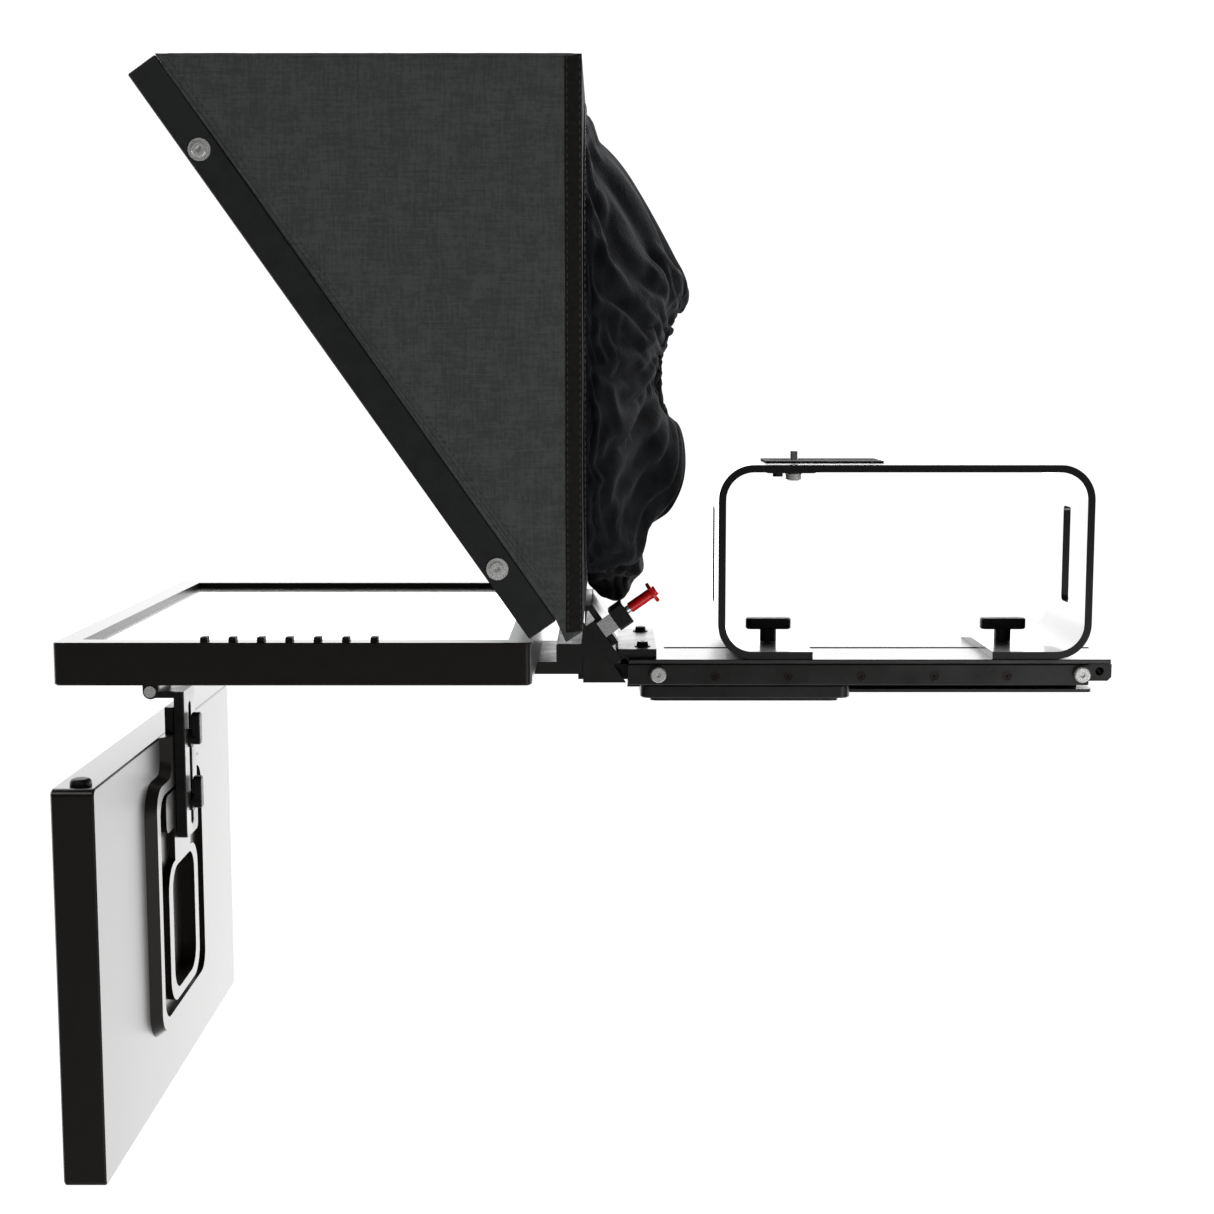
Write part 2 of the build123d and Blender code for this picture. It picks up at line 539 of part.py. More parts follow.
def talent_back():
    shell = rounded((TALENT_SPLIT, BACK_X), *upright(0), 5, Axis.X)
    shell = chamfer(shell.edges().group_by(Axis.X)[-1], 1.2)
    pad_top = BACK_X + PAD_DEPTH
    pad = loft([pad_outline(*PAD_FOOT, BACK_X - 0.5), pad_outline(*PAD_EDGE, pad_top)], ruled=True)
    shell += pad & block((BACK_X - 1, pad_top + 1), (-TALENT_HALF, TALENT_HALF), (BOTTOM, TOP))
    bay_floor = pad_top - BAY_DEPTH
    bay = back_block(BAY_HALF, BAY_Z, (bay_floor, pad_top + 1), 16)
    island = back_block(ISLAND_HALF, ISLAND_Z, (bay_floor - 1, pad_top), 22)
    island += block((bay_floor - 1, pad_top), (-27, 27), (ISLAND_Z[1] - 2, -102))
    island += back_block(53, (-104, BAY_Z[1] - 3), (bay_floor - 1, pad_top), 7)
    recess_floor = pad_top - RECESS_DEPTH
    shell -= block((TALENT_SPLIT - 1, BACK_X - 2.5), *upright(3))
    shell += back_block(RECESS_HALF + 2, (RECESS_Z[0] - 2, RECESS_Z[1] + 2), (recess_floor - 2, BACK_X - 1), 20)
    shell -= bay - island
    shell -= back_block(RECESS_HALF, RECESS_Z, (recess_floor, pad_top + 1), 18)
    shell -= block((BACK_X, pad_top + 1), (-SLIDE_HALF - GAP, SLIDE_HALF + GAP), (SLIDE_Z[0] - GAP, TOP + 1))
    return shell - rod((*TALENT_BUTTON, TOP - 5), (0, 0, 1), 10, 7.7)


def talent_bezel():
    ring = rounded((TALENT_X[0], TALENT_SPLIT), *upright(0), 5, Axis.X)
    ring = chamfer(ring.edges().group_by(Axis.X)[0], 1)
    ring -= block((TALENT_X[0] - 1, TALENT_SPLIT + 1), *upright(TALENT_BORDER))
    return ring - block((TALENT_X[0] + 3, TALENT_SPLIT + 1), *upright(TALENT_BORDER - 4))


def talent_button():
    x, y = TALENT_BUTTON
    dome = rod((x, y, TOP - 5), (0, 0, 1), 10, 7.5)
    dome = fillet(dome.edges().group_by(Axis.Z)[-1], 3)
    return dome + rod((x, y, TOP - 5), (0, 0, 1), 1.8, 8.5)


save("talent_back", talent_back())
save("talent_bezel", talent_bezel())
save("talent_screen", block((TALENT_X[0] + 3.1, TALENT_SPLIT - 0.3), *upright(TALENT_BORDER - 3.8)))
save("talent_lcd_module", block((TALENT_SPLIT, TALENT_SPLIT + 9), *upright(15)))
save("talent_driver_board", block((-470, -468.4), (-50, 50), (-220, -140)))
save("talent_power_button", talent_button())
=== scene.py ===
import math

import bmesh
import bpy
from mathutils import Matrix, Vector, noise


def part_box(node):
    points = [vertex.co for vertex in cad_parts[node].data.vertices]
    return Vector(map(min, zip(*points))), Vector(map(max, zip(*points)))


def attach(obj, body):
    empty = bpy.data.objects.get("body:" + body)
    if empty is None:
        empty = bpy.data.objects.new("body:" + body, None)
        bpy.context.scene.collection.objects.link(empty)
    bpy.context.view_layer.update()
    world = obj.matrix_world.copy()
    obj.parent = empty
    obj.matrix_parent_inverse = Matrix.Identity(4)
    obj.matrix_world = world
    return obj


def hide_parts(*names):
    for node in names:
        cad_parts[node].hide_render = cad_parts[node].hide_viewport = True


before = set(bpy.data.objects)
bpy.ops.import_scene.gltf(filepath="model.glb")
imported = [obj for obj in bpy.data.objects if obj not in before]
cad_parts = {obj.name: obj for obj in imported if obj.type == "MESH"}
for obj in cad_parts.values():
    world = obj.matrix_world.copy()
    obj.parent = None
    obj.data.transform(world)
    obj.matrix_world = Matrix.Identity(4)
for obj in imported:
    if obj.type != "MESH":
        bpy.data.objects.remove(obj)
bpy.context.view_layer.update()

# ---- Studio: camera, floor and light ----
# A white studio. The space behind the object is brightest, so black faces seen at a grazing
# angle mirror it, while faces turned to the camera stay dark. The floor looks white to the camera.
FRONT_LIGHT, BACK_LIGHT, BACKDROP = 0.05, 3.0, 1.1
FLOOR_HALF, FLOOR_Z = 14, -1.25
CAMERA_TILT = 6.8
camera_data = bpy.data.cameras.new("studio_camera")
camera_data.lens = 55.3
camera_data.sensor_width = 36
camera_data.clip_end = 60
camera = bpy.data.objects.new("studio_camera", camera_data)
camera.location = (-0.1076, -1.481, 0.246)
camera.rotation_euler = (math.radians(90 - CAMERA_TILT), 0, 0)
bpy.context.scene.collection.objects.link(camera)
bpy.context.scene.camera = camera

floor_mesh = bpy.data.meshes.new("studio_floor")
floor_corners = [(x * FLOOR_HALF, y * FLOOR_HALF, FLOOR_Z) for x, y in ((-1, -1), (1, -1), (1, 1), (-1, 1))]
floor_mesh.from_pydata(floor_corners, [], [(0, 1, 2, 3)])
floor = bpy.data.objects.new("studio_floor", floor_mesh)
bpy.context.scene.collection.objects.link(floor)
floor_paint = bpy.data.materials.new("studio_floor")
floor_paint.use_nodes = True
floor_shader = floor_paint.node_tree.nodes["Principled BSDF"]
floor_shader.inputs["Base Color"].default_value = (0.3, 0.3, 0.3, 1)
floor_shader.inputs["Roughness"].default_value = 0.9
floor_shader.inputs["Emission Color"].default_value = (1, 1, 1, 1)
floor_tree = floor_paint.node_tree
floor_place = floor_tree.nodes.new("ShaderNodeTexCoord")
floor_split = floor_tree.nodes.new("ShaderNodeSeparateXYZ")
floor_tree.links.new(floor_place.outputs["Object"], floor_split.inputs[0])
glow = floor_tree.nodes.new("ShaderNodeMapRange")
for socket, value in zip(("From Min", "From Max", "To Min", "To Max"), (0.2, 1.6, 0.04, 3.1)):
    glow.inputs[socket].default_value = value
floor_tree.links.new(floor_split.outputs["Y"], glow.inputs["Value"])
floor_tree.links.new(glow.outputs["Result"], floor_shader.inputs["Emission Strength"])
floor_seen = floor_tree.nodes.new("ShaderNodeLightPath")
floor_white = floor_tree.nodes.new("ShaderNodeEmission")
floor_white.inputs["Strength"].default_value = BACKDROP
floor_choose = floor_tree.nodes.new("ShaderNodeMixShader")
floor_tree.links.new(floor_seen.outputs["Is Camera Ray"], floor_choose.inputs["Fac"])
floor_tree.links.new(floor_shader.outputs[0], floor_choose.inputs[1])
floor_tree.links.new(floor_white.outputs[0], floor_choose.inputs[2])
floor_tree.links.new(floor_choose.outputs[0], floor_tree.nodes["Material Output"].inputs["Surface"])
floor_mesh.materials.append(floor_paint)

world = bpy.data.worlds.new("studio_light")
bpy.context.scene.world = world
world.use_nodes = True
sky = world.node_tree
sky.nodes.clear()
direction = sky.nodes.new("ShaderNodeTexCoord")
split = sky.nodes.new("ShaderNodeSeparateXYZ")
sky.links.new(direction.outputs["Generated"], split.inputs[0])
backness = sky.nodes.new("ShaderNodeMapRange")
backness.interpolation_type = "SMOOTHSTEP"
for socket, value in zip(("From Min", "From Max", "To Min", "To Max"), (0.1, 0.8, FRONT_LIGHT, BACK_LIGHT)):
    backness.inputs[socket].default_value = value
sky.links.new(split.outputs["Y"], backness.inputs["Value"])
seen = sky.nodes.new("ShaderNodeLightPath")
studio = sky.nodes.new("ShaderNodeBackground")
studio.inputs["Color"].default_value = (1, 1, 1, 1)
sky.links.new(backness.outputs["Result"], studio.inputs["Strength"])
backdrop = sky.nodes.new("ShaderNodeBackground")
backdrop.inputs["Color"].default_value = (1, 1, 1, 1)
backdrop.inputs["Strength"].default_value = BACKDROP
choose = sky.nodes.new("ShaderNodeMixShader")
sky.links.new(seen.outputs["Is Camera Ray"], choose.inputs["Fac"])
sky.links.new(studio.outputs[0], choose.inputs[1])
sky.links.new(backdrop.outputs[0], choose.inputs[2])
world_out = sky.nodes.new("ShaderNodeOutputWorld")
sky.links.new(choose.outputs[0], world_out.inputs["Surface"])


def softbox(name, place, target, width, height, watts):
    lamp = bpy.data.lights.new(name, "AREA")
    lamp.shape = "RECTANGLE"
    lamp.size, lamp.size_y, lamp.energy = width, height, watts
    light = bpy.data.objects.new(name, lamp)
    light.location = place
    light.rotation_euler = (Vector(target) - Vector(place)).to_track_quat("-Z", "Y").to_euler()
    bpy.context.scene.collection.objects.link(light)


softbox("key_softbox", (-1.3, -2.3, 2.3), (-0.1, 0, 0.1), 1.2, 1.0, 17)
softbox("side_softbox", (1.0, -1.6, -0.9), (-0.1, 0, 0.15), 0.7, 0.7, 15)
softbox("rear_softbox", (1.5, 2.2, 1.7), (-0.1, 0, 0.1), 1.2, 1.2, 24)
bpy.context.scene.view_settings.view_transform = "Standard"


# ---- Base, bracket, arms and tripod plate: black anodised aluminium ----
# Milled bars and plates, bead blasted and anodised black. The grain is fine and even, and the
# sheen is a little stronger than on paint.
def surface(name, colour, roughness, **sockets):
    """A new material with one Principled shader, and the node tree that it stands in."""
    made = bpy.data.materials.new(name)
    made.use_nodes = True
    shader = made.node_tree.nodes["Principled BSDF"]
    shader.inputs["Base Color"].default_value = (*colour, 1)
    shader.inputs["Roughness"].default_value = roughness
    for socket, value in sockets.items():
        shader.inputs[socket.replace("_", " ")].default_value = value
    return made, made.node_tree, shader


def speckle(tree, size, stretch=(1, 1, 1), detail=3):
    """Noise on Object coordinates, with grains of about that size in metres."""
    place = tree.nodes.new("ShaderNodeTexCoord")
    scale = tree.nodes.new("ShaderNodeMapping")
    scale.inputs["Scale"].default_value = [1 / (size * s) for s in stretch]
    grains = tree.nodes.new("ShaderNodeTexNoise")
    grains.inputs["Scale"].default_value = 1
    grains.inputs["Detail"].default_value = detail
    tree.links.new(place.outputs["Object"], scale.inputs["Vector"])
    tree.links.new(scale.outputs["Vector"], grains.inputs["Vector"])
    return grains.outputs["Fac"]


def between(tree, factor, low, high, low_at=0.3, high_at=0.7):
    """A value or a colour that runs between two as the factor goes from low_at to high_at."""
    coloured = isinstance(low, tuple)
    spread = tree.nodes.new("ShaderNodeMapRange")
    ends = (low_at, high_at, 0, 1) if coloured else (low_at, high_at, low, high)
    for socket, value in zip(("From Min", "From Max", "To Min", "To Max"), ends):
        spread.inputs[socket].default_value = value
    tree.links.new(factor, spread.inputs["Value"])
    if not coloured:
        return spread.outputs["Result"]
    ramp = tree.nodes.new("ShaderNodeValToRGB")
    ramp.color_ramp.elements[0].color, ramp.color_ramp.elements[1].color = (*low, 1), (*high, 1)
    tree.links.new(spread.outputs["Result"], ramp.inputs["Fac"])
    return ramp.outputs["Color"]


def raised(tree, shader, height, depth, strength=1.0):
    """Bump of that depth in metres, added to any bump the shader has already."""
    bump = tree.nodes.new("ShaderNodeBump")
    bump.inputs["Distance"].default_value = depth
    bump.inputs["Strength"].default_value = strength
    tree.links.new(height, bump.inputs["Height"])
    earlier = shader.inputs["Normal"].links
    if earlier:
        tree.links.new(earlier[0].from_socket, bump.inputs["Normal"])
    tree.links.new(bump.outputs["Normal"], shader.inputs["Normal"])


def paint_nodes(material, *names):
    for name in names:
        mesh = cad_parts[name].data
        mesh.materials.clear()
        mesh.materials.append(material)


anodised, tree, shader = surface("black_anodised", (0.008, 0.0076, 0.007), 0.33, IOR=1.5)
blast = speckle(tree, 0.0007)
tree.links.new(between(tree, speckle(tree, 0.02), 0.27, 0.38), shader.inputs["Roughness"])
tree.links.new(between(tree, speckle(tree, 0.006), (0.006, 0.0057, 0.0052), (0.011, 0.0102, 0.0094)),
               shader.inputs["Base Color"])
raised(tree, shader, blast, 0.00002, 0.5)
paint_nodes(anodised, "tripod_plate", "balance_plate", "base_spine", "base_rail_near", "base_rail_far",
            "base_end_block", "bracket_gusset_near", "bracket_gusset_far", "bracket_slope_plate",
            "plunger_housing", "hood_tongue", "monitor_arm", "prompter_vesa_plate", "talent_fold_bracket",
            "talent_arm_bar", "talent_slide_bar")

# ---- Slotted top plate ----
# Rolled plate with a fine brushed grain along its length under the black anodising.
brushed_black, tree, shader = surface("brushed_black_plate", (0.014, 0.014, 0.0145), 0.28, IOR=1.8)
strokes = speckle(tree, 0.0005, (60, 1, 1))
tree.links.new(between(tree, strokes, 0.22, 0.36), shader.inputs["Roughness"])
raised(tree, shader, strokes, 0.000015, 0.4)
paint_nodes(brushed_black, "base_top_plate")

# ---- Riser ----
# Flat bar bent on a press and powder coated in gloss black: a smooth skin with faint orange peel.
gloss_coat, tree, shader = surface("gloss_black_coat", (0.003, 0.003, 0.0032), 0.3, IOR=1.45,
                                   Coat_Weight=0.6, Coat_Roughness=0.1, Coat_IOR=1.45)
raised(tree, shader, speckle(tree, 0.0035, detail=1), 0.00004, 0.35)
paint_nodes(gloss_coat, "riser")

# ---- Steel screws, pins, nuts, springs ----
# Turned stainless steel with faint rings from the tool.
steel, tree, shader = surface("turned_steel", (0.9, 0.9, 0.88), 0.25, Metallic=0.6)
tree.links.new(between(tree, speckle(tree, 0.0012), 0.22, 0.33), shader.inputs["Roughness"])
raised(tree, shader, speckle(tree, 0.0004, (1, 6, 1)), 0.000003, 0.2)
paint_nodes(steel, "thumb_screw_front", "thumb_screw_rear", "plunger_stem", "plunger_spring",
            "frame_screws", "talent_hinge_pin", "camera_screw", "riser_slot_nuts")
oxide, tree, shader = surface("black_oxide", (0.02, 0.013, 0.012), 0.35, Metallic=0.6)
tree.links.new(between(tree, speckle(tree, 0.001), 0.28, 0.45), shader.inputs["Roughness"])
paint_nodes(oxide, "base_screws")
bright, tree, shader = surface("bright_aluminium", (0.86, 0.86, 0.87), 0.3, Metallic=1.0)
tree.links.new(between(tree, speckle(tree, 0.0009), 0.22, 0.38), shader.inputs["Roughness"])
paint_nodes(bright, "plunger_post")

# ---- Knobs, levers and buttons ----
# Injection moulded nylon with a fine spark-eroded texture.
nylon, tree, shader = surface("black_nylon", (0.005, 0.005, 0.005), 0.5, IOR=1.4)
raised(tree, shader, speckle(tree, 0.0006, detail=4), 0.00004, 0.6)
tree.links.new(between(tree, speckle(tree, 0.008), 0.42, 0.58), shader.inputs["Roughness"])
paint_nodes(nylon, "riser_knob_front", "riser_knob_rear", "camera_screw_washer", "clamp_lever_upper",
            "clamp_lever_lower", "talent_power_button", *[f"monitor_button_{i}" for i in range(1, 8)])

# ---- Plunger knob ----
# Bright red moulded plastic, polished, with soft marks from fingers.
red_plastic, tree, shader = surface("red_plastic", (0.85, 0.003, 0.005), 0.35, IOR=1.45)
tree.links.new(between(tree, speckle(tree, 0.004), (0.8, 0.002, 0.004), (0.95, 0.004, 0.006)),
               shader.inputs["Base Color"])
tree.links.new(between(tree, speckle(tree, 0.003), 0.22, 0.4), shader.inputs["Roughness"])
paint_nodes(red_plastic, "plunger_knob")

# ---- Camera pad ----
# Cork-grained rubber under the camera.
rubber, tree, shader = surface("pad_rubber", (0.007, 0.007, 0.007), 0.85)
grain = speckle(tree, 0.0018, detail=5)
tree.links.new(between(tree, grain, (0.004, 0.004, 0.004), (0.011, 0.0105, 0.010)),
               shader.inputs["Base Color"])
raised(tree, shader, grain, 0.0002, 0.7)
paint_nodes(rubber, "camera_pad")

# ---- Monitors ----
# Both cases are moulded plastic in a warm black satin. The screens have a smooth anti-glare front.
case_plastic, tree, shader = surface("monitor_case", (0.006, 0.0042, 0.003), 0.3, IOR=1.45)
tree.links.new(between(tree, speckle(tree, 0.012), (0.0055, 0.0036, 0.0022), (0.0082, 0.0056, 0.0038)),
               shader.inputs["Base Color"])
raised(tree, shader, speckle(tree, 0.0008, detail=4), 0.00002, 0.3)
paint_nodes(case_plastic, "prompter_back", "prompter_bezel", "talent_back", "talent_bezel")
screen_front, tree, shader = surface("screen_front", (0.004, 0.0042, 0.005), 0.22, IOR=1.5,
                                     Coat_Weight=1.0, Coat_Roughness=0.1, Coat_IOR=1.9)
raised(tree, shader, speckle(tree, 0.0003), 0.00001, 0.2)
paint_nodes(screen_front, "prompter_screen", "talent_screen")
panel_case, tree, shader = surface("lcd_module", (0.3, 0.3, 0.31), 0.45, Metallic=0.8)
tree.links.new(between(tree, speckle(tree, 0.01), 0.4, 0.55), shader.inputs["Roughness"])
paint_nodes(panel_case, "prompter_lcd_module", "talent_lcd_module")
circuit, tree, shader = surface("circuit_board", (0.02, 0.14, 0.06), 0.4)
tree.links.new(between(tree, speckle(tree, 0.003), (0.012, 0.1, 0.045), (0.03, 0.17, 0.08)),
               shader.inputs["Base Color"])
paint_nodes(circuit, "prompter_driver_board", "talent_driver_board")

# ---- Glass frame and beamsplitter glass ----
# The frame is square tube with a satin black coat. The glass is coated to send part of the
# light from the monitor forward and to pass the rest to the lens.
frame_coat, tree, shader = surface("frame_coat", (0.008, 0.0088, 0.0098), 0.5)
tree.links.new(between(tree, speckle(tree, 0.01), 0.42, 0.56), shader.inputs["Roughness"])
raised(tree, shader, speckle(tree, 0.0009, detail=4), 0.00004, 0.6)
paint_nodes(frame_coat, "glass_frame")
mirror_glass, tree, shader = surface("beamsplitter", (0.86, 0.93, 0.92), 0.0, IOR=1.52, Alpha=0.4,
                                     Metallic=1.0)
tree.links.new(between(tree, speckle(tree, 0.05), (0.84, 0.91, 0.90), (0.88, 0.95, 0.94)),
               shader.inputs["Base Color"])
paint_nodes(mirror_glass, "beamsplitter_glass")

# ---- Hood boards ----
# Stiff boards wrapped in woven fabric, charcoal on the sides and top. The rear board's cloth is
# near black as painted shade, which keeps its rear face dark where the back light reaches it. The
# cloth is glued down, so it lies almost flat, with rolled edges and faint puckers.
PUCKER, EDGE_ROLL, WEAVE_PITCH, GRID = 0.0005, 0.0014, 0.0017, 0.009
SLOPE = math.radians(55)      # of the glass frame, from level


def wave_of(tree, place, axis, pitch):
    """A sine along one Object axis."""
    part = tree.nodes.new("ShaderNodeSeparateXYZ")
    tree.links.new(place, part.inputs[0])
    grow = tree.nodes.new("ShaderNodeMath")
    grow.operation = "MULTIPLY"
    grow.inputs[1].default_value = 2 * math.pi / pitch
    tree.links.new(part.outputs[axis], grow.inputs[0])
    sine = tree.nodes.new("ShaderNodeMath")
    sine.operation = "SINE"
    tree.links.new(grow.outputs[0], sine.inputs[0])
    return sine.outputs[0]


def add_up(tree, *values):
    total = values[0]
    for value in values[1:]:
        add = tree.nodes.new("ShaderNodeMath")
        add.operation = "ADD"
        tree.links.new(total, add.inputs[0])
        tree.links.new(value, add.inputs[1])
        total = add.outputs[0]
    return total


def woven(name, dark, light, pitch, slub=0.004):
    """Plain weave: crossed threads, with thicker slubs that run along both directions."""
    made, tree, shader = surface(name, dark, 0.88, Specular_IOR_Level=0.1, Sheen_Weight=0.03)
    place = tree.nodes.new("ShaderNodeTexCoord").outputs["Object"]
    threads = add_up(tree, *[wave_of(tree, place, axis, pitch) for axis in "XYZ"])
    slubs = add_up(tree, speckle(tree, slub, (4, 4, 0.3)), speckle(tree, slub, (0.3, 4, 4)),
                   speckle(tree, slub, (4, 0.3, 4)))
    flecks = add_up(tree, slubs, speckle(tree, 0.0028, detail=4))
    tree.links.new(between(tree, flecks, dark, light, 1.78, 2.22), shader.inputs["Base Color"])
    raised(tree, shader, threads, 0.00005, 0.25)
    raised(tree, shader, slubs, 0.0005, 0.35)
    return made


hood_cloth = woven("hood_cloth", (0.066, 0.0700, 0.068), (0.092, 0.097, 0.0945), WEAVE_PITCH)
# The rear board's cloth is near black as painted shade, so its face that the back light reaches stays dark.
rear_cloth_painted_shade = woven("rear_board_cloth_painted_shade", (0.006, 0.0066, 0.007), (0.013, 0.014, 0.015), WEAVE_PITCH)


def rounded_outline(low, high, radius, steps=8):
    """A rectangle with round corners, from its low and high corners."""
    points = []
    for turn, (x, y) in enumerate(((high[0] - radius, high[1] - radius), (low[0] + radius, high[1] - radius),
                                   (low[0] + radius, low[1] + radius), (high[0] - radius, low[1] + radius))):
        for step in range(steps + 1):
            angle = math.pi / 2 * (turn + step / steps)
            points.append((x + radius * math.cos(angle), y + radius * math.sin(angle)))
    return points


def slab(name, outlines, thickness, edge, grid=0.0):
    """A flat piece from closed outlines, the first outside and the rest holes, with rounded rims."""
    curve = bpy.data.curves.new(name, "CURVE")
    curve.dimensions = "2D"
    curve.fill_mode = "BOTH"
    for outline in outlines:
        spline = curve.splines.new("POLY")
        spline.points.add(len(outline) - 1)
        for point, (x, y) in zip(spline.points, outline):
            point.co = (x, y, 0, 1)
        spline.use_cyclic_u = True
    curve.offset = -edge
    curve.extrude = thickness / 2 - edge
    curve.bevel_depth = edge
    curve.bevel_resolution = 2
    holder = bpy.data.objects.new(name + "_curve", curve)
    bpy.context.scene.collection.objects.link(holder)
    bpy.context.view_layer.update()
    mesh = bpy.data.meshes.new_from_object(holder.evaluated_get(bpy.context.evaluated_depsgraph_get()))
    bpy.data.objects.remove(holder)
    shape = bmesh.new()
    shape.from_mesh(mesh)
    bmesh.ops.remove_doubles(shape, verts=shape.verts, dist=1e-6)
    if grid:
        xs = [x for x, y in outlines[0]]
        ys = [y for x, y in outlines[0]]
        for low, high, normal in ((min(xs), max(xs), (1, 0, 0)), (min(ys), max(ys), (0, 1, 0))):
            for step in range(1, int((high - low) / grid)):
                bmesh.ops.bisect_plane(shape, geom=shape.verts[:] + shape.edges[:] + shape.faces[:],
                                       plane_co=Vector(normal) * (low + step * grid), plane_no=normal)
    bmesh.ops.recalc_face_normals(shape, faces=shape.faces)
    shape.to_mesh(mesh)
    shape.free()
    return mesh


def puckered(mesh, amount, seed):
    """Moves the points of a slab in and out, so that the cloth on it isn't dead flat."""
    for vertex in mesh.vertices:
        place = vertex.co * 14 + Vector((seed, 0, 0))
        wrinkle = vertex.co * 70 + Vector((0, seed, 0))
        vertex.co.z += amount * (noise.noise(place) + 0.25 * noise.noise(wrinkle))


def piece(name, mesh, placing, material, body, replaced=(), sharp=40):
    """A finished piece: its mesh put in place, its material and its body."""
    mesh.transform(placing)
    if placing.determinant() < 0:
        mesh.flip_normals()
    mesh.materials.clear()
    mesh.materials.append(material)
    mesh.shade_smooth()
    mesh.set_sharp_from_angle(angle=math.radians(sharp))
    made = bpy.data.objects.new(name, mesh)
    bpy.context.scene.collection.objects.link(made)
    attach(made, body)
    if replaced:
        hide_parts(*replaced)
    return made


side_low, side_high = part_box("hood_side_near")
far_low, far_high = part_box("hood_side_far")
rear_low, rear_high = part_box("hood_rear")
top_low, top_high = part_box("hood_top")
BOARD = side_high.y - side_low.y
band_foot = Vector((-0.1424, 0, 0.0857))      # where the board meets the foot of the glass frame
flap = Vector((-0.1357, 0, side_low.z))       # lowest front corner of the side board
side_outline = [(side_low.x, side_high.z), (band_foot.x, band_foot.z), (flap.x, flap.z),
                (side_high.x, rear_low.z), (side_high.x, side_high.z)]


def facing(origin, across, up, out):
    """A matrix that lays local X, Y, Z along three world directions."""
    turn = Matrix((across, up, out)).transposed().to_4x4()
    return Matrix.Translation(origin) @ turn


for side, low, sign in (("near", side_low, -1), ("far", far_low, 1)):
    board = slab(f"hood_board_{side}", [side_outline], BOARD, EDGE_ROLL, GRID)
    puckered(board, PUCKER, 3 * sign)
    centre_y = (low.y + low.y + BOARD) / 2
    piece(f"hood_board_{side}", board, facing((0, centre_y, 0), (1, 0, 0), (0, 0, 1), (0, -1, 0)), hood_cloth,
          "hood", [f"hood_side_{side}"])

top_outline = [(top_low.x, top_low.y), (top_high.x, top_low.y), (top_high.x, top_high.y), (top_low.x, top_high.y)]
top_board = slab("hood_board_top", [top_outline], BOARD, EDGE_ROLL, GRID)
puckered(top_board, PUCKER, 11)
piece("hood_board_top", top_board, Matrix.Translation((0, 0, (top_low.z + top_high.z) / 2)), hood_cloth,
      "hood", ["hood_top"])

rear_outline = [(rear_low.y, rear_low.z), (rear_high.y, rear_low.z), (rear_high.y, rear_high.z),
                (rear_low.y, rear_high.z)]
lens_window = rounded_outline((-0.150, 0.125), (0.150, 0.430), 0.085)
rear_board = slab("hood_board_rear", [rear_outline, lens_window], BOARD, EDGE_ROLL, GRID)
puckered(rear_board, PUCKER, 17)
rear_middle = ((rear_low.x + rear_high.x) / 2, 0, 0)
piece("hood_board_rear", rear_board, facing(rear_middle, (0, 1, 0), (0, 0, 1), (1, 0, 0)), rear_cloth_painted_shade, "hood",
      ["hood_rear"])

# ---- Hood seams, tape and stitching ----
# A ribbon of black tape closes the rear edge of each side board, and a round welt runs along the
# top edge and beside the glass frame. All of it is sewn with a doubled polyester thread.
TAPE_WIDTH, TAPE_LIFT, WELT_R = 0.0115, 0.0007, 0.0013
STITCH, STITCH_GAP, THREAD_R = 0.0034, 0.0052, 0.00038
tape_cloth, tree, shader = surface("rear_tape", (0.013, 0.0122, 0.0118), 0.72, Specular_IOR_Level=0.2)
ribs = wave_of(tree, tree.nodes.new("ShaderNodeTexCoord").outputs["Object"], "Z", 0.0011)
raised(tree, shader, ribs, 0.00008, 0.5)
tree.links.new(between(tree, speckle(tree, 0.003), (0.007, 0.0068, 0.0058), (0.014, 0.0135, 0.0118)),
               shader.inputs["Base Color"])
thread, tree, shader = surface("black_thread", (0.022, 0.022, 0.022), 0.6, Sheen_Weight=0.3)
tree.links.new(between(tree, speckle(tree, 0.0008), 0.5, 0.75), shader.inputs["Roughness"])


def welt(name, start, end, radius, body, material):
    """A round seam that runs from start to end, with closed round ends."""
    tube = bmesh.new()
    length = (end - start).length
    turn = (end - start).to_track_quat("Z", "Y").to_matrix().to_4x4()
    steps = int(length / 0.006)
    rings = []
    for step in range(steps + 1):
        along = length * step / steps
        narrow = min(1, math.sin(math.pi / 2 * min(1, min(along, length - along) / 0.004)) * 0.7 + 0.3)
        ring = []
        for side in range(10):
            angle = 2 * math.pi * side / 10
            wobble = 1 + 0.12 * noise.noise(Vector((along * 300, side, radius * 1e4)))
            spot = Vector((math.cos(angle), math.sin(angle), 0)) * radius * narrow * wobble
            ring.append(tube.verts.new(spot + Vector((0, 0, along))))
        rings.append(ring)
    for low_ring, high_ring in zip(rings, rings[1:]):
        for side in range(10):
            after = (side + 1) % 10
            tube.faces.new((low_ring[side], low_ring[after], high_ring[after], high_ring[side]))
    tube.faces.new(rings[0][::-1])
    tube.faces.new(rings[-1])
    bmesh.ops.recalc_face_normals(tube, faces=tube.faces)
    mesh = bpy.data.meshes.new(name)
    tube.to_mesh(mesh)
    tube.free()
    return piece(name, mesh, Matrix.Translation(start) @ turn, material, body)


def tree_with(name, **inputs):
    """A new geometry tree with named number and vector inputs and a geometry output."""
    made = bpy.data.node_groups.new(name, "GeometryNodeTree")
    made.interface.new_socket("Geometry", in_out="INPUT", socket_type="NodeSocketGeometry")
    for label, value in inputs.items():
        kind = "NodeSocketVector" if isinstance(value, tuple) else "NodeSocketFloat"
        socket = made.interface.new_socket(label, in_out="INPUT", socket_type=kind)
        socket.default_value = value
    made.interface.new_socket("Geometry", in_out="OUTPUT", socket_type="NodeSocketGeometry")
    return made, made.nodes.new("NodeGroupInput"), made.nodes.new("NodeGroupOutput")


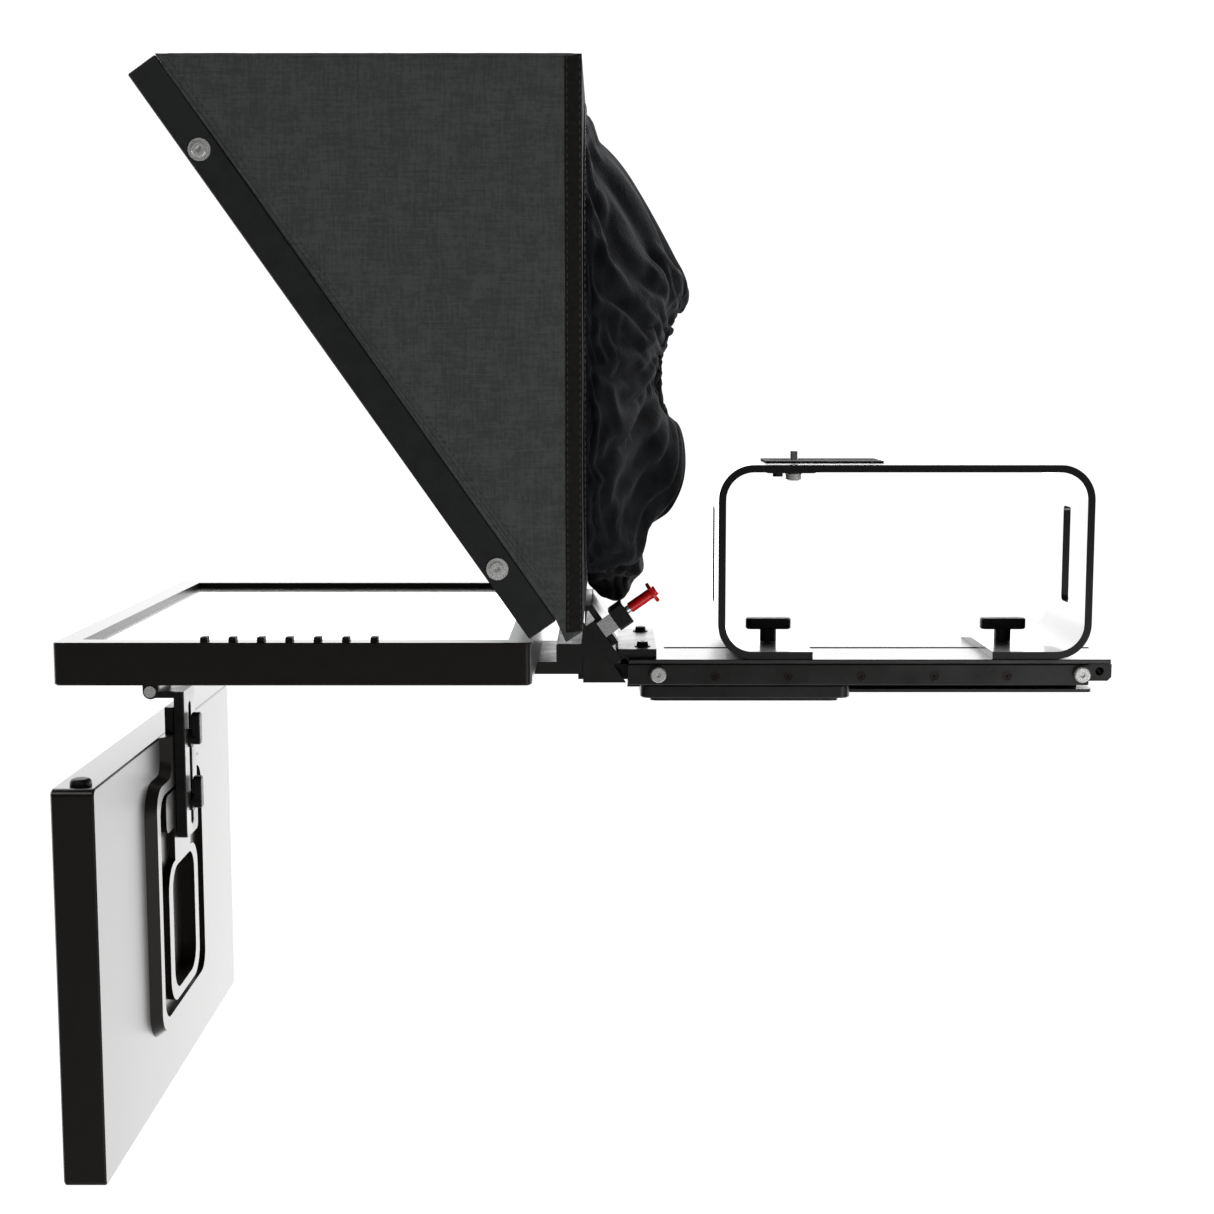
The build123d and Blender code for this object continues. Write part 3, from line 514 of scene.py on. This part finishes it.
def grown(name, base, tree, material, body, slot, **inputs):
    """Runs a geometry tree on a base mesh and keeps the result as one plain mesh."""
    holder = bpy.data.objects.new(name + "_base", base)
    bpy.context.scene.collection.objects.link(holder)
    step = holder.modifiers.new("tree", "NODES")
    step.node_group = tree
    for socket in tree.interface.items_tree:
        if socket.in_out == "INPUT" and socket.name in inputs:
            step[socket.identifier] = inputs[socket.name]
    bpy.context.view_layer.update()
    mesh = bpy.data.meshes.new_from_object(holder.evaluated_get(bpy.context.evaluated_depsgraph_get()))
    holder.modifiers.clear()
    bpy.data.objects.remove(holder)
    return piece(name, mesh, Matrix.Identity(4), material, body)


def stitch_tree(material):
    """Short threads laid end to end along every edge of the base mesh."""
    made, given, result = tree_with("stitches", Length=STITCH, Gap=STITCH_GAP, Radius=THREAD_R)
    line = made.nodes.new("GeometryNodeMeshToCurve")
    made.links.new(given.outputs["Geometry"], line.inputs["Mesh"])
    spread = made.nodes.new("GeometryNodeCurveToPoints")
    spread.mode = "LENGTH"
    made.links.new(line.outputs[0], spread.inputs["Curve"])
    made.links.new(given.outputs["Gap"], spread.inputs["Length"])
    strand = made.nodes.new("GeometryNodeMeshUVSphere")
    strand.inputs["Segments"].default_value = 6
    strand.inputs["Rings"].default_value = 4
    strand.inputs["Radius"].default_value = 1
    size = made.nodes.new("ShaderNodeCombineXYZ")
    half = made.nodes.new("ShaderNodeMath")
    half.operation = "MULTIPLY"
    half.inputs[1].default_value = 0.5
    made.links.new(given.outputs["Length"], half.inputs[0])
    made.links.new(given.outputs["Radius"], size.inputs["X"])
    made.links.new(given.outputs["Radius"], size.inputs["Y"])
    made.links.new(half.outputs[0], size.inputs["Z"])
    lay = made.nodes.new("GeometryNodeInstanceOnPoints")
    made.links.new(spread.outputs["Points"], lay.inputs["Points"])
    made.links.new(strand.outputs["Mesh"], lay.inputs["Instance"])
    made.links.new(size.outputs[0], lay.inputs["Scale"])
    along = made.nodes.new("FunctionNodeAlignEulerToVector")
    along.axis = "Z"
    made.links.new(spread.outputs["Tangent"], along.inputs["Vector"])
    made.links.new(along.outputs[0], lay.inputs["Rotation"])
    real = made.nodes.new("GeometryNodeRealizeInstances")
    made.links.new(lay.outputs[0], real.inputs[0])
    dye = made.nodes.new("GeometryNodeSetMaterial")
    dye.inputs["Material"].default_value = material
    made.links.new(real.outputs[0], dye.inputs["Geometry"])
    made.links.new(dye.outputs[0], result.inputs[0])
    return made


def lines(name, *pairs):
    """A mesh of loose edges, one for each pair of ends."""
    mesh = bpy.data.meshes.new(name)
    ends = [end for pair in pairs for end in pair]
    mesh.from_pydata(ends, [(2 * i, 2 * i + 1) for i in range(len(pairs))], [])
    return mesh


sewing = stitch_tree(thread)
seam_ends = []
slope_start = Vector((side_low.x + 0.004, 0, side_high.z - 0.0045))
slope_end = band_foot + Vector((0.004, 0, 0.0032))
for side, low, high, sign in (("near", side_low, side_high, -1), ("far", far_low, far_high, 1)):
    face = high.y if sign > 0 else low.y
    out_y = Vector((0, face, 0))
    tape_front = side_high.x - TAPE_WIDTH
    tape_outline = [(tape_front, side_high.z - 0.0004), (tape_front, rear_low.z - 0.0006),
                    (side_high.x, rear_low.z + 0.0006), (side_high.x, side_high.z - 0.0004)]
    tape = slab(f"rear_tape_{side}", [tape_outline], 2 * TAPE_LIFT, 0.0005, GRID)
    puckered(tape, 0.0002, 23 * sign)
    piece(f"rear_tape_{side}", tape, facing((0, face, 0), (1, 0, 0), (0, 0, 1), (0, -1, 0)), tape_cloth,
          "hood")
    welt(f"band_welt_{side}", slope_start + out_y, slope_end + out_y, WELT_R, "hood",
         hood_cloth)
    welt(f"top_welt_{side}", Vector((side_low.x + 0.004, face, side_high.z - WELT_R * 0.8)),
         Vector((side_high.x - 0.001, face, side_high.z - WELT_R * 0.8)), WELT_R * 0.8, "hood",
         hood_cloth)
    lift = sign * (TAPE_LIFT + THREAD_R * 0.3)
    for x in (side_high.x - 0.0015, side_high.x - TAPE_WIDTH + 0.0015):
        seam_ends.append(((x, face + lift, rear_low.z + 0.004), (x, face + lift, side_high.z - 0.003)))
    inward = Vector((math.sin(SLOPE), 0, math.cos(SLOPE))) * 0.0042
    seam_ends.append((tuple(slope_start + inward + Vector((0.002, face + sign * 0.0003, -0.002))),
                      tuple(slope_end + inward + Vector((0, face + sign * 0.0003, 0)))))
grown("hood_stitches", lines("hood_seams", *seam_ends), sewing, thread, "hood", "hood_fabric")

# ---- Lens shroud ----
# A loose sleeve of black velvet. Its wide end is sewn round the opening in the rear board and its
# narrow end has an elastic hem that closes round the lens, so the slack hangs in folds.
LENS = Vector((-0.068, 0, 0.261))
HEM_R, SLEEVE_WALL = 0.040, 0.0012
SEWN_HALF, SEWN_LOW, SEWN_HIGH, SEWN_POWER = 0.160, 0.104 - LENS.z, 0.447 - LENS.z, 3.3
BOARD_FACE, BULGE_FROM, BULGE_GIVE = -0.1232, -0.047, 0.005
AROUND, ALONG = 168, 56
SLACK = 1.09      # the cloth is cut this much larger, each way, than the form that it hangs from
# X and distance from the lens axis at the top, sides and bottom of the sleeve, from board to hem
PROFILES = {
    90: ((-0.1236, 0.186), (-0.102, 0.176), (-0.080, 0.153), (-0.056, 0.112), (-0.035, 0.066), (-0.034, 0.044),
         (-0.055, 0.036), (-0.068, 0.040)),
    0: ((-0.1236, 0.160), (-0.110, 0.152), (-0.092, 0.136), (-0.076, 0.108), (-0.067, 0.074), (-0.0625, 0.055),
        (-0.066, 0.044), (-0.068, 0.040)),
    -90: ((-0.1236, 0.157), (-0.113, 0.160), (-0.098, 0.152), (-0.083, 0.138), (-0.071, 0.118), (-0.044, 0.106),
          (-0.034, 0.078), (-0.040, 0.042), (-0.068, 0.040)),
}
LOBE_AT, LOBE_WIDTH = math.radians(-79), math.radians(15)
LOBE = ((0, 0), (0.010, 0.022), (0.011, 0.038), (0.003, 0.032), (-0.003, 0.010), (0, 0), (0, 0), (0, 0))


def smooth_at(rows, t):
    """A point on a smooth line through evenly spaced rows, for t from 0 to 1."""
    at = min(max(t, 0), 0.99999) * (len(rows) - 1)
    i = int(at)
    f = at - i
    four = [rows[min(max(i + k, 0), len(rows) - 1)] for k in (-1, 0, 1, 2)]
    return [0.5 * (2 * b + (c - a) * f + (2 * a - 5 * b + 4 * c - d) * f * f
                   + (3 * b - a - 3 * c + d) * f ** 3) for a, b, c, d in zip(*four)]


def board_reach(angle):
    """How far the sewn edge is from the lens axis: a rectangle with very round corners."""
    c, s = math.cos(angle), math.sin(angle)
    tall = SEWN_HIGH if s > 0 else -SEWN_LOW
    return (abs(c / SEWN_HALF) ** SEWN_POWER + abs(s / tall) ** SEWN_POWER) ** (-1 / SEWN_POWER)


def ring_round(margin, steps=96):
    """Y and Z of points round the sewn edge, that margin outside it."""
    points = []
    for step in range(steps):
        angle = 2 * math.pi * step / steps
        reach = board_reach(angle) + margin
        points.append((reach * math.cos(angle), LENS.z + reach * math.sin(angle)))
    return points


def sleeve_point(angle, t):
    """A point of the hanging sleeve before the cloth settles."""
    up = max(0, math.sin(angle)) ** 1.6
    dip = max(0, -math.sin(angle)) ** 1.6
    flat = 1 - up - dip
    x, r = [up * a + flat * b + dip * c for a, b, c in
            zip(smooth_at(PROFILES[90], t), smooth_at(PROFILES[0], t), smooth_at(PROFILES[-90], t))]
    own = up * 0.186 + flat * 0.160 + dip * 0.157
    reach = board_reach(angle)
    r = HEM_R + (r - HEM_R) * ((reach - HEM_R) / (own - HEM_R)) ** ((1 - t) ** 1.3)
    lobe = math.exp(-((angle - LOBE_AT) / LOBE_WIDTH) ** 2)
    more_x, more_r = smooth_at(LOBE, t)
    x, r = x + lobe * more_x, r + lobe * more_r
    loose = math.sin(math.pi * min(1, t * 1.05)) ** 0.7
    fold = noise.noise(Vector((math.cos(angle) * 4.2, math.sin(angle) * 4.2, t * 1.6)))
    pleat = noise.noise(Vector((math.cos(angle) * 11, math.sin(angle) * 11, t * 2.2 + 7)))
    x += loose * (0.006 * fold + 0.0045 * pleat)
    r += loose * (0.005 * pleat - 0.004 * fold)
    return Vector((x, r * math.cos(angle), LENS.z + r * math.sin(angle)))


def sleeve_mesh():
    sleeve = bpy.data.meshes.new("lens_sleeve")
    spots = [sleeve_point(2 * math.pi * a / AROUND if a * 2 <= AROUND else 2 * math.pi * (a / AROUND - 1),
                          k / (ALONG - 1)) for k in range(ALONG) for a in range(AROUND)]
    quads = [(k * AROUND + a, k * AROUND + (a + 1) % AROUND, (k + 1) * AROUND + (a + 1) % AROUND,
              (k + 1) * AROUND + a) for k in range(ALONG - 1) for a in range(AROUND)]
    sleeve.from_pydata(spots, [], quads)
    return sleeve


def settled(mesh, pinned, frames, wander):
    """Lets cloth hang for some frames from its pinned points. No point moves further than wander."""
    start = [v.co.copy() for v in mesh.vertices]
    holder = bpy.data.objects.new("hanging_cloth", mesh)
    bpy.context.scene.collection.objects.link(holder)
    group = holder.vertex_groups.new(name="pinned")
    group.add(pinned, 1.0, "REPLACE")
    hang = holder.modifiers.new("hang", "CLOTH")
    hang.settings.quality = 6
    hang.settings.mass = 0.35
    hang.settings.tension_stiffness = 12
    hang.settings.compression_stiffness = 6
    hang.settings.shear_stiffness = 4
    hang.settings.bending_stiffness = 0.25
    hang.settings.shrink_min = 1 - SLACK
    hang.settings.vertex_group_mass = "pinned"
    hang.settings.effector_weights.gravity = 0.6
    hang.collision_settings.use_collision = False
    hang.collision_settings.use_self_collision = True
    hang.collision_settings.self_distance_min = 0.0025
    hang.point_cache.frame_start, hang.point_cache.frame_end = 1, frames
    for frame_number in range(1, frames + 1):
        bpy.context.scene.frame_set(frame_number)
    result = bpy.data.meshes.new_from_object(holder.evaluated_get(bpy.context.evaluated_depsgraph_get()))
    holder.modifiers.clear()
    bpy.data.objects.remove(holder)
    bpy.context.scene.frame_set(1)
    for vertex, first in zip(result.vertices, start):
        moved = vertex.co - first
        if moved.length > wander:
            vertex.co = first + moved * (wander / moved.length)
    return result


sleeve = sleeve_mesh()
sewn = list(range(AROUND)) + list(range(AROUND * (ALONG - 1), AROUND * ALONG))
sleeve = settled(sleeve, sewn, 26, 0.014)
for vertex in sleeve.vertices:
    over = max(0, vertex.co.x - BULGE_FROM)
    vertex.co.x = max(vertex.co.x - over + BULGE_GIVE * math.tanh(over / BULGE_GIVE), BOARD_FACE)
shroud = bpy.data.objects.new("lens_sleeve", sleeve)
bpy.context.scene.collection.objects.link(shroud)
smoother = shroud.modifiers.new("smoother", "SUBSURF")
smoother.levels = smoother.render_levels = 1
wall = shroud.modifiers.new("wall", "SOLIDIFY")
wall.thickness = SLEEVE_WALL
wall.offset = 0
bpy.context.view_layer.update()
thick = bpy.data.meshes.new_from_object(shroud.evaluated_get(bpy.context.evaluated_depsgraph_get()))
shroud.modifiers.clear()
bpy.data.objects.remove(shroud)
velvet, tree, shader = surface("black_velvet", (0.007, 0.0078, 0.009), 0.95, Sheen_Weight=0.04,
                               Sheen_Roughness=0.4)
shader.inputs["Sheen Tint"].default_value = (0.75, 0.8, 0.9, 1)
shader.inputs["Specular IOR Level"].default_value = 0.15
nap = speckle(tree, 0.0022, detail=6)
tree.links.new(between(tree, speckle(tree, 0.018, detail=5), (0.004, 0.0043, 0.005), (0.015, 0.0165, 0.019)),
               shader.inputs["Base Color"])
raised(tree, shader, nap, 0.0009, 0.8)
lens_sleeve = piece("lens_sleeve", thick, Matrix.Identity(4), velvet, "hood", ["lens_shroud"],
                    sharp=180)

# ---- Shroud hem and elastic ----
# A flat band of the same velvet holds the sleeve to the board with two rows of stitches, and a
# rolled hem with elastic in it makes the ring round the lens.
BAND_OUTSIDE, BAND_INSIDE, BAND_SEAMS = 0.009, -0.003, (0.0072, 0.002)
hem_band = slab("shroud_hem_band", [ring_round(BAND_OUTSIDE), ring_round(BAND_INSIDE)], SLEEVE_WALL, 0.0005)
piece("shroud_hem_band", hem_band, facing((rear_high.x + 0.0004, 0, 0), (0, 1, 0), (0, 0, 1), (1, 0, 0)),
      velvet, "hood")
band_seams = []
for margin in BAND_SEAMS:
    ring = [(rear_high.x + 0.0011, y, z) for y, z in ring_round(margin)]
    band_seams += list(zip(ring, ring[1:] + ring[:1]))
seam_line = lines("shroud_seams", *band_seams)
welded = bmesh.new()
welded.from_mesh(seam_line)
bmesh.ops.remove_doubles(welded, verts=welded.verts, dist=1e-6)
welded.to_mesh(seam_line)
welded.free()
grown("shroud_stitches", seam_line, sewing, thread, "hood", "shroud_cloth")

elastic = bmesh.new()
HOOPS, ELASTIC_R = 120, 0.0026
hoops = []
for step in range(HOOPS):
    angle = 2 * math.pi * step / HOOPS
    uneven = noise.noise(Vector((math.cos(angle) * 3, math.sin(angle) * 3, 5)))
    gather = 1 + 0.22 * math.sin(angle * 31) + 0.15 * uneven
    hoop = []
    for side in range(10):
        turn = 2 * math.pi * side / 10
        r = HEM_R + ELASTIC_R * gather * math.cos(turn)
        hoop.append(elastic.verts.new((LENS.x + ELASTIC_R * gather * math.sin(turn), r * math.cos(angle),
                                       LENS.z + r * math.sin(angle))))
    hoops.append(hoop)
for hoop, after in zip(hoops, hoops[1:] + hoops[:1]):
    for side in range(10):
        elastic.faces.new((hoop[side], hoop[(side + 1) % 10], after[(side + 1) % 10], after[side]))
bmesh.ops.recalc_face_normals(elastic, faces=elastic.faces)
elastic_mesh = bpy.data.meshes.new("lens_elastic")
elastic.to_mesh(elastic_mesh)
elastic.free()
piece("lens_elastic", elastic_mesh, Matrix.Identity(4), velvet, "hood", sharp=180)

# ---- Small screws ----
# Button heads with hex sockets and flat washers, in black steel. They hold the arm to the monitor,
# the monitor cases together, the bracket to the base, and the balance plate to its base.
black_steel, tree, shader = surface("black_steel", (0.03, 0.03, 0.031), 0.35, Metallic=0.85)
tree.links.new(between(tree, speckle(tree, 0.0007), 0.27, 0.45), shader.inputs["Roughness"])
raised(tree, shader, speckle(tree, 0.0005), 0.00001, 0.4)


def screw_tree(material):
    """A tapered head with a hex socket and a washer at every point of the base mesh."""
    made, given, result = tree_with("screws", Radius=0.004, Height=0.0024, Axis=(0.0, 0.0, 1.0))

    def scaled(source, factor):
        times = made.nodes.new("ShaderNodeMath")
        times.operation = "MULTIPLY"
        times.inputs[1].default_value = factor
        made.links.new(source, times.inputs[0])
        return times.outputs[0]

    def lifted(mesh, amount):
        place = made.nodes.new("ShaderNodeCombineXYZ")
        made.links.new(amount, place.inputs["Z"])
        move = made.nodes.new("GeometryNodeTransform")
        made.links.new(mesh, move.inputs["Geometry"])
        made.links.new(place.outputs[0], move.inputs["Translation"])
        return move.outputs[0]

    radius, height = given.outputs["Radius"], given.outputs["Height"]
    head = made.nodes.new("GeometryNodeMeshCone")
    head.inputs["Vertices"].default_value = 28
    made.links.new(scaled(radius, 0.82), head.inputs["Radius Top"])
    made.links.new(radius, head.inputs["Radius Bottom"])
    made.links.new(height, head.inputs["Depth"])
    socket = made.nodes.new("GeometryNodeMeshCylinder")
    socket.inputs["Vertices"].default_value = 6
    made.links.new(scaled(radius, 0.45), socket.inputs["Radius"])
    made.links.new(height, socket.inputs["Depth"])
    cut = made.nodes.new("GeometryNodeMeshBoolean")
    cut.operation = "DIFFERENCE"
    made.links.new(head.outputs["Mesh"], cut.inputs["Mesh 1"])
    made.links.new(lifted(socket.outputs["Mesh"], scaled(height, 0.8)), cut.inputs["Mesh 2"])
    washer = made.nodes.new("GeometryNodeMeshCone")
    washer.inputs["Vertices"].default_value = 28
    made.links.new(scaled(radius, 1.25), washer.inputs["Radius Top"])
    made.links.new(scaled(radius, 1.32), washer.inputs["Radius Bottom"])
    made.links.new(scaled(height, 0.25), washer.inputs["Depth"])
    both = made.nodes.new("GeometryNodeJoinGeometry")
    made.links.new(lifted(cut.outputs[0], scaled(height, 0.2)), both.inputs[0])
    made.links.new(washer.outputs["Mesh"], both.inputs[0])
    aim = made.nodes.new("FunctionNodeAlignEulerToVector")
    aim.axis = "Z"
    made.links.new(given.outputs["Axis"], aim.inputs["Vector"])
    put = made.nodes.new("GeometryNodeInstanceOnPoints")
    made.links.new(given.outputs["Geometry"], put.inputs["Points"])
    made.links.new(both.outputs[0], put.inputs["Instance"])
    made.links.new(aim.outputs[0], put.inputs["Rotation"])
    real = made.nodes.new("GeometryNodeRealizeInstances")
    made.links.new(put.outputs[0], real.inputs[0])
    dye = made.nodes.new("GeometryNodeSetMaterial")
    dye.inputs["Material"].default_value = material
    made.links.new(real.outputs[0], dye.inputs["Geometry"])
    made.links.new(dye.outputs[0], result.inputs[0])
    return made


def screws(name, places, axis, radius, height, body):
    spots = bpy.data.meshes.new(name)
    spots.from_pydata(places, [], [])
    grown(name, spots, screw_set, black_steel, body, "steel", Radius=radius, Height=height, Axis=axis)


screw_set = screw_tree(black_steel)
case_low, case_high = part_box("prompter_back")
plate_low, plate_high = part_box("prompter_vesa_plate")
middle_x = (plate_low.x + plate_high.x) / 2
VESA_HALF = 0.05
arm_web = plate_low.z - 0.004
screws("arm_screws", [(middle_x + dx, dy, arm_web) for dx in (-VESA_HALF, VESA_HALF)
                      for dy in (-VESA_HALF, VESA_HALF)], (0, 0, -1), 0.004, 0.0026, "prompter")
screws("case_screws", [(x, y, case_low.z) for x in (case_low.x + 0.013, case_high.x - 0.013)
                       for y in (case_low.y + 0.014, 0, case_high.y - 0.014)], (0, 0, -1), 0.0028, 0.0012,
       "prompter")
bay_floor = -0.4576
screws("talent_bay_screws", [(bay_floor, y, z) for y in (-0.0615, 0.0615) for z in (-0.236, -0.15, -0.09)],
       (1, 0, 0), 0.0032, 0.0016, "talent")
screws("foot_bolts", [(-0.080, y, 0.044) for y in (-0.045, 0.045)], (0, 0, 1), 0.0048, 0.0034, "base")
under_low, under_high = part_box("balance_plate")
screws("balance_plate_screws", [(x, y, under_low.z) for x in (0.215, under_high.x - 0.012)
                                for y in (-0.030, 0.030)], (0, 0, -1), 0.0026, 0.001, "base")
